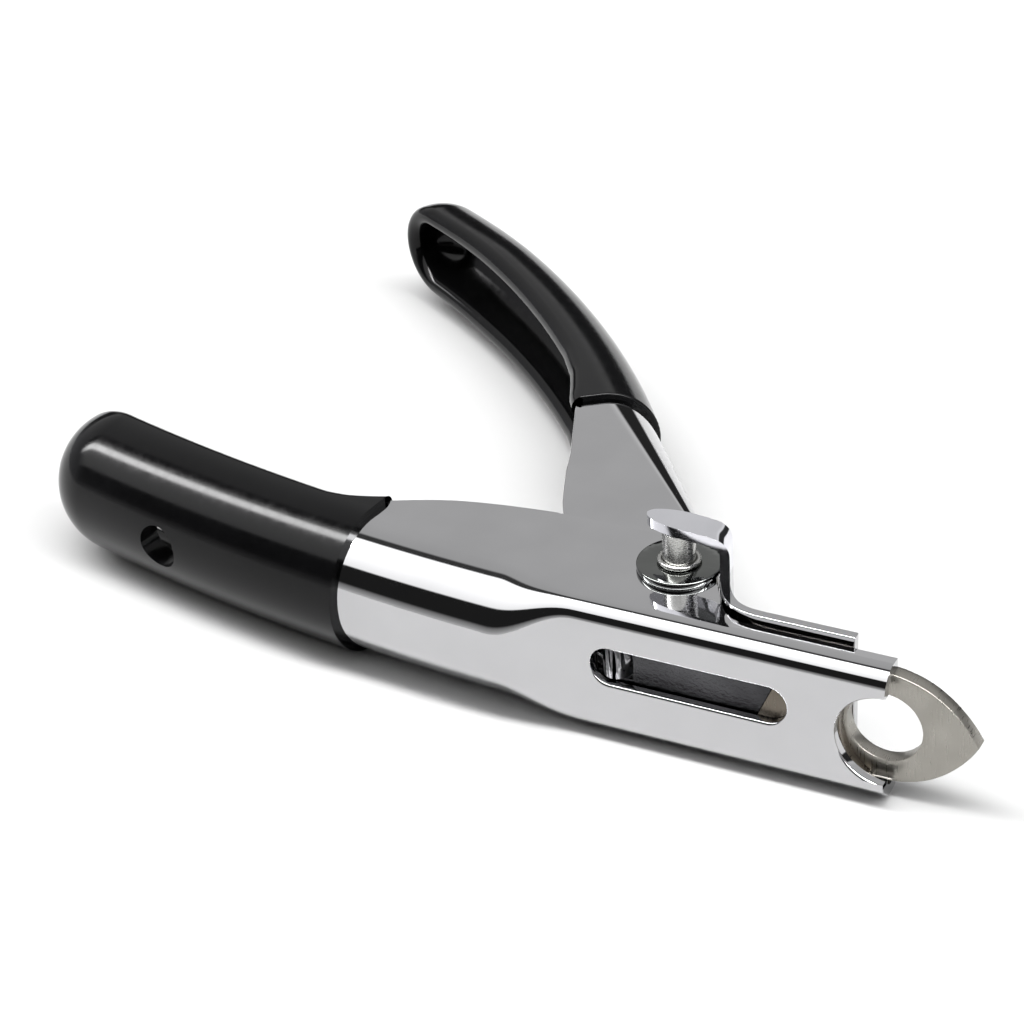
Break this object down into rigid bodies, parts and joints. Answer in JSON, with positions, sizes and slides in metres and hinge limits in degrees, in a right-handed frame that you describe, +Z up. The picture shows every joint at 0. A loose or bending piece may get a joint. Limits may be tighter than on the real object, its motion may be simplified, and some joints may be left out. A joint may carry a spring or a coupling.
{
  "type": "pet nail trimmer",
  "caption": "Ring-type pet nail trimmer: chromed channel handles with black dipped grips, a sliding blade behind a steel nail ring, and a swing gate with a thumb tab.",
  "frame": {"origin": "centre of the nail hole, half way through the ring plate", "axes": "+X along the head towards the ring tip, +Y towards the moving handle, +Z up out of the flat side the tool does not lie on"},
  "size_m": [0.1247, 0.0953, 0.024],
  "materials": {
    "chrome": "bright chrome plate",
    "vinyl": "glossy dipped vinyl",
    "stainless": "fine cross-brushed stainless",
    "plain_steel": "plain ground steel",
    "satin_steel": "satin",
    "polished_steel": "mirror polish",
    "spring_steel": "drawn wire",
    "brass": "turned",
    "nylon": "natural nylon"
  },
  "bodies": {
    "frame": {"fixed_handle": "chrome", "fixed_grip": "vinyl", "nail_ring": "stainless", "locating_stud": "plain_steel", "pivot_disc": "polished_steel", "pivot_sleeve": "brass", "upper_shim": "nylon", "lower_shim": "nylon"},
    "lever": {"moving_handle": "chrome", "moving_grip": "vinyl", "drive_finger": "plain_steel", "finger_rivets": "satin_steel", "return_spring": "spring_steel", "spring_spacer": "nylon"},
    "blade": {"cutting_blade": "stainless", "blade_slide": "chrome"},
    "gate": {"retaining_gate": "chrome", "pivot_post": "satin_steel", "post_collar": "satin_steel", "post_foot": "satin_steel"}
  },
  "joints": [
    {"name": "lever_squeeze", "type": "hinge", "parent": "frame", "child": "lever", "pos_m": [-0.0278, 0.0081, 0], "axis": [0, 0, 1], "range_deg": [0, 42.5], "stiffness_Nm_per_rad": 0.25, "springref_deg": -22.92},
    {"name": "blade_slide", "type": "slide", "parent": "frame", "child": "blade", "axis": [1, 0, 0], "range_m": [0, 0.0082]},
    {"name": "gate_swing", "type": "hinge", "parent": "frame", "child": "gate", "pos_m": [-0.0278, 0.0081, 0], "axis": [0, 0, 1], "range_deg": [0, 30]}
  ],
  "couplings": [
    {"joint": "blade_slide", "follows": "lever_squeeze", "m_per_rad": 0.0102}
  ]
}
